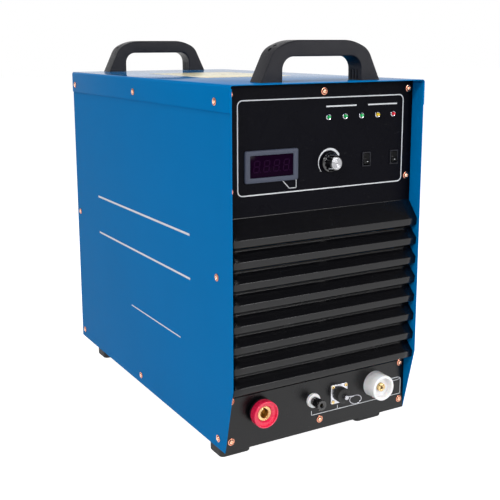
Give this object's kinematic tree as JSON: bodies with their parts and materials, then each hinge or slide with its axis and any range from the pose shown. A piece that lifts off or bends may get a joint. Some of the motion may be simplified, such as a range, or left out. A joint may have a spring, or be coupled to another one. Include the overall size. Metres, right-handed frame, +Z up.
{
  "type": "plasma cutter unit",
  "caption": "Upright inverter plasma cutter unit with a blue sheet steel case, black louvred front, carrying handles, rubber feet, front sockets and controls, and rear fans.",
  "frame": {"origin": "middle of the whole part's footprint, on the floor under the rubber feet", "axes": "+Z up, -Y out of the louvred front with the sockets, +X to the right seen from the front"},
  "size_m": [0.3252, 0.636, 0.592],
  "materials": {
    "tray_metal": "zinc plated and painted sheet",
    "blue_paint": "blue powder coat, semi gloss",
    "black_panel": "near black semi gloss panel paint",
    "louvre_paint": "dark grey satin powder coat",
    "plated_steel": "zinc plated steel",
    "yellow_zinc": "yellow passivated zinc",
    "black_plastic": "fine matt moulded plastic",
    "grey_plastic": "matt grey plastic",
    "rubber": "matt black rubber",
    "tint": "dark tinted polished plastic",
    "display": "dark display module",
    "chrome": "bright chrome plate",
    "aluminium": "turned aluminium",
    "green_lens": "clear green lens",
    "yellow_lens": "clear yellow lens",
    "red_lens": "clear red lens",
    "red_plastic": "bright red moulded plastic",
    "white_plastic": "white moulded plastic",
    "brass": "turned brass",
    "board": "green circuit board",
    "copper": "enamelled copper winding",
    "ferrite": "dark ferrite",
    "hose": "blue air hose"
  },
  "bodies": {
    "case": {"base_tray": "tray_metal", "corner_posts": "tray_metal", "top_rails": "tray_metal", "mid_shelf": "plated_steel", "side_panel_left": "blue_paint", "side_panel_right": "blue_paint", "top_cover": "blue_paint", "control_panel": "black_panel", "connector_panel": "louvre_paint", "louvre_fascia": "louvre_paint", "rear_panel": "black_panel", "handle_front": "black_plastic", "handle_rear": "black_plastic", "frame_bolts": "plated_steel", "rubber_feet": "rubber", "case_screws": "yellow_zinc", "meter_bezel": "grey_plastic", "meter_window": "tint", "meter_display": "display", "potentiometer": "plated_steel", "switch_housings": "black_plastic", "lamp_holders": "chrome", "lamp_green": "green_lens", "lamp_yellow": "yellow_lens", "lamp_red": "red_lens", "work_socket_ring": "red_plastic", "work_socket_base": "black_plastic", "work_socket_contact": "brass", "torch_socket_shell": "white_plastic", "torch_socket_contact": "brass", "pilot_post_collar": "white_plastic", "pilot_post_stud": "brass", "connector_flange": "chrome", "connector_insert": "black_plastic", "fan_frames": "black_plastic", "fan_guards": "chrome", "breaker_body": "white_plastic", "mains_gland": "black_plastic", "air_inlet": "brass", "earth_stud": "brass", "heat_sink": "aluminium", "insulating_blocks": "black_plastic", "power_modules": "black_plastic", "transformer_core": "ferrite", "transformer_winding": "copper", "output_choke": "copper", "circuit_boards": "board", "bus_capacitors": "tint", "solenoid_valve": "brass", "air_hose": "hose"},
    "knob": {"current_knob": "black_plastic", "knob_cap": "aluminium"},
    "left_rocker": {"rocker_left": "black_plastic"},
    "right_rocker": {"rocker_right": "black_plastic"},
    "left_rotor": {"fan_rotor_left": "black_plastic"},
    "right_rotor": {"fan_rotor_right": "black_plastic"},
    "lever": {"breaker_lever": "black_plastic"},
    "thumb_nut": {"pilot_post_nut": "black_plastic"},
    "cap": {"dust_cap": "black_plastic", "dust_cap_ring": "chrome"}
  },
  "joints": [
    {"name": "knob_turn", "type": "hinge", "parent": "case", "child": "knob", "pos_m": [0.0105, -0.294, 0.424], "axis": [0, 1, 0], "range_deg": [-150, 150]},
    {"name": "rocker_left_tilt", "type": "hinge", "parent": "case", "child": "left_rocker", "pos_m": [0.0745, -0.2924, 0.424], "axis": [1, 0, 0], "range_deg": [0, 24]},
    {"name": "rocker_right_tilt", "type": "hinge", "parent": "case", "child": "right_rocker", "pos_m": [0.1247, -0.2924, 0.424], "axis": [1, 0, 0], "range_deg": [0, 24]},
    {"name": "fan_left_spin", "type": "hinge", "parent": "case", "child": "left_rotor", "pos_m": [-0.066, 0.273, 0.195], "axis": [0, 1, 0], "continuous": true},
    {"name": "fan_right_spin", "type": "hinge", "parent": "case", "child": "right_rotor", "pos_m": [0.066, 0.273, 0.195], "axis": [0, 1, 0], "continuous": true},
    {"name": "breaker_throw", "type": "hinge", "parent": "case", "child": "lever", "pos_m": [-0.082, 0.294, 0.447], "axis": [1, 0, 0], "range_deg": [0, 80]},
    {"name": "thumb_nut_travel", "type": "slide", "parent": "case", "child": "thumb_nut", "axis": [0, -1, 0], "range_m": [0, 0.005]},
    {"name": "dust_cap_pull", "type": "slide", "parent": "case", "child": "cap", "axis": [0, -1, 0], "range_m": [0, 0.02]}
  ]
}
